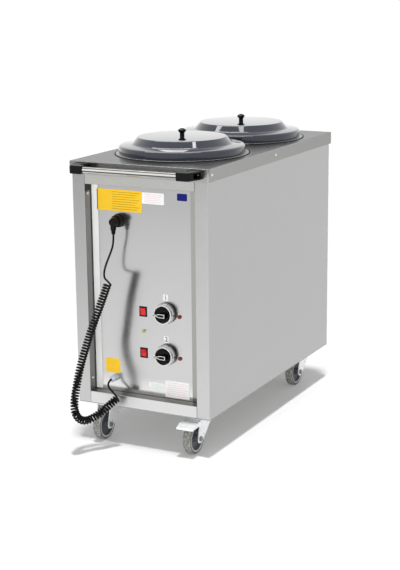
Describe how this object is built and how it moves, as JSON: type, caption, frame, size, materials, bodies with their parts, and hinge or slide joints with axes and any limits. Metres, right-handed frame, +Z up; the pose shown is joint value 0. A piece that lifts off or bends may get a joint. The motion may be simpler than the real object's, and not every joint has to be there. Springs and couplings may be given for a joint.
{
  "type": "heated plate dispenser trolley",
  "caption": "Mobile heated plate dispenser: a stainless cabinet with sprung plate wells under domed lids, recessed controls, push handle, curly mains cord and swivel casters.",
  "frame": {"origin": "on the floor under the middle of the cart, the push handle included and the cord left out", "axes": "+Z up, +Y from the handle and control end to the rear end, +X to the right of a person who faces the controls"},
  "size_m": [0.4848, 1.118, 0.978],
  "materials": {
    "stainless_sheet": "satin",
    "polished_tube": "polished",
    "bright_fasteners": "bright",
    "spring_steel": "drawn",
    "zinc_steel": "zinc plated",
    "chrome_ring": "polished",
    "brass_stud": "turned",
    "black_plastic": "moulded",
    "grey_plastic": "moulded",
    "hub_plastic": "moulded",
    "red_lens": "gloss",
    "lid_plastic": "gloss",
    "cord_sheath": "satin",
    "grey_rubber": "matte"
  },
  "bodies": {
    "cabinet": {"worktop": "stainless_sheet", "left_side_panel": "stainless_sheet", "right_side_panel": "stainless_sheet", "rear_panel": "stainless_sheet", "base_plate": "stainless_sheet", "front_top_rail": "stainless_sheet", "front_bottom_rail": "stainless_sheet", "control_panel": "stainless_sheet", "front_well": "stainless_sheet", "rear_well": "stainless_sheet", "handle_tube": "polished_tube", "cabinet_screws": "bright_fasteners", "handle_screws": "bright_fasteners", "caster_bolts": "bright_fasteners", "handle_brackets": "black_plastic", "front_springs": "spring_steel", "rear_springs": "spring_steel", "front_heater": "spring_steel", "rear_heater": "spring_steel", "dial_rings": "chrome_ring", "thermostats": "black_plastic", "switch_housings": "black_plastic", "pilot_lamps": "red_lens", "earth_stud": "brass_stud", "cable_gland": "grey_plastic", "plug_holder": "black_plastic", "plug": "black_plastic", "cord_lead": "cord_sheath", "cord_coil": "cord_sheath", "cord_tail": "cord_sheath", "caster_plates": "zinc_steel"},
    "front_carrier": {"front_plate_carrier": "stainless_sheet"},
    "front_cover": {"front_lid": "lid_plastic", "front_lid_knob": "black_plastic"},
    "rear_carrier": {"rear_plate_carrier": "stainless_sheet"},
    "rear_cover": {"rear_lid": "lid_plastic", "rear_lid_knob": "black_plastic"},
    "upper_dial_knob": {"upper_knob": "black_plastic"},
    "upper_switch_rocker": {"upper_rocker": "red_lens"},
    "lower_dial_knob": {"lower_knob": "black_plastic"},
    "lower_switch_rocker": {"lower_rocker": "red_lens"},
    "front_left_caster": {"front_left_fork": "zinc_steel", "front_left_axle": "bright_fasteners"},
    "front_left_wheel": {"front_left_hub": "hub_plastic", "front_left_tyre": "grey_rubber"},
    "front_right_caster": {"front_right_fork": "zinc_steel", "front_right_axle": "bright_fasteners"},
    "front_right_wheel": {"front_right_hub": "hub_plastic", "front_right_tyre": "grey_rubber"},
    "front_right_brake": {"front_right_brake_pedal": "zinc_steel"},
    "rear_left_caster": {"rear_left_fork": "zinc_steel", "rear_left_axle": "bright_fasteners"},
    "rear_left_wheel": {"rear_left_hub": "hub_plastic", "rear_left_tyre": "grey_rubber"},
    "rear_left_brake": {"rear_left_brake_pedal": "zinc_steel"},
    "rear_right_caster": {"rear_right_fork": "zinc_steel", "rear_right_axle": "bright_fasteners"},
    "rear_right_wheel": {"rear_right_hub": "hub_plastic", "rear_right_tyre": "grey_rubber"}
  },
  "joints": [
    {"name": "front_carrier_sink", "type": "slide", "parent": "cabinet", "child": "front_carrier", "axis": [0, 0, -1], "range_m": [0, 0.44], "stiffness_N_per_m": 650, "springref_m": -0.06, "deforming": ["front_springs"]},
    {"name": "front_lid_lift", "type": "slide", "parent": "cabinet", "child": "front_cover", "axis": [0, 0, 1], "range_m": [0, 0.2]},
    {"name": "rear_carrier_sink", "type": "slide", "parent": "cabinet", "child": "rear_carrier", "axis": [0, 0, -1], "range_m": [0, 0.44], "stiffness_N_per_m": 650, "springref_m": -0.06, "deforming": ["rear_springs"]},
    {"name": "rear_lid_lift", "type": "slide", "parent": "cabinet", "child": "rear_cover", "axis": [0, 0, 1], "range_m": [0, 0.2]},
    {"name": "upper_knob_turn", "type": "hinge", "parent": "cabinet", "child": "upper_dial_knob", "pos_m": [0.0689, -0.409, 0.4388], "axis": [0, 1, 0], "range_deg": [0, 270]},
    {"name": "upper_switch_rock", "type": "hinge", "parent": "cabinet", "child": "upper_switch_rocker", "pos_m": [-0.0135, -0.408, 0.4348], "axis": [-1, 0, 0], "range_deg": [0, 16]},
    {"name": "lower_knob_turn", "type": "hinge", "parent": "cabinet", "child": "lower_dial_knob", "pos_m": [0.0689, -0.409, 0.3058], "axis": [0, 1, 0], "range_deg": [0, 270]},
    {"name": "lower_switch_rock", "type": "hinge", "parent": "cabinet", "child": "lower_switch_rocker", "pos_m": [-0.0135, -0.408, 0.3018], "axis": [-1, 0, 0], "range_deg": [0, 16]},
    {"name": "front_left_swivel", "type": "hinge", "parent": "cabinet", "child": "front_left_caster", "pos_m": [-0.1616, -0.3805, 0.11], "axis": [0, 0, 1], "continuous": true},
    {"name": "front_left_roll", "type": "hinge", "parent": "front_left_caster", "child": "front_left_wheel", "pos_m": [-0.1616, -0.4165, 0.05], "axis": [1, 0, 0], "continuous": true},
    {"name": "front_right_swivel", "type": "hinge", "parent": "cabinet", "child": "front_right_caster", "pos_m": [0.1616, -0.3805, 0.11], "axis": [0, 0, 1], "continuous": true},
    {"name": "front_right_roll", "type": "hinge", "parent": "front_right_caster", "child": "front_right_wheel", "pos_m": [0.1616, -0.4165, 0.05], "axis": [1, 0, 0], "continuous": true},
    {"name": "front_right_brake_press", "type": "hinge", "parent": "front_right_caster", "child": "front_right_brake", "pos_m": [0.1616, -0.4065, 0.103], "axis": [1, 0, 0], "range_deg": [0, 12]},
    {"name": "rear_left_swivel", "type": "hinge", "parent": "cabinet", "child": "rear_left_caster", "pos_m": [-0.1616, 0.408, 0.11], "axis": [0, 0, 1], "continuous": true},
    {"name": "rear_left_roll", "type": "hinge", "parent": "rear_left_caster", "child": "rear_left_wheel", "pos_m": [-0.1616, 0.372, 0.05], "axis": [1, 0, 0], "continuous": true},
    {"name": "rear_left_brake_press", "type": "hinge", "parent": "rear_left_caster", "child": "rear_left_brake", "pos_m": [-0.1616, 0.382, 0.103], "axis": [1, 0, 0], "range_deg": [0, 12]},
    {"name": "rear_right_swivel", "type": "hinge", "parent": "cabinet", "child": "rear_right_caster", "pos_m": [0.1616, 0.408, 0.11], "axis": [0, 0, 1], "continuous": true},
    {"name": "rear_right_roll", "type": "hinge", "parent": "rear_right_caster", "child": "rear_right_wheel", "pos_m": [0.1616, 0.372, 0.05], "axis": [1, 0, 0], "continuous": true}
  ]
}
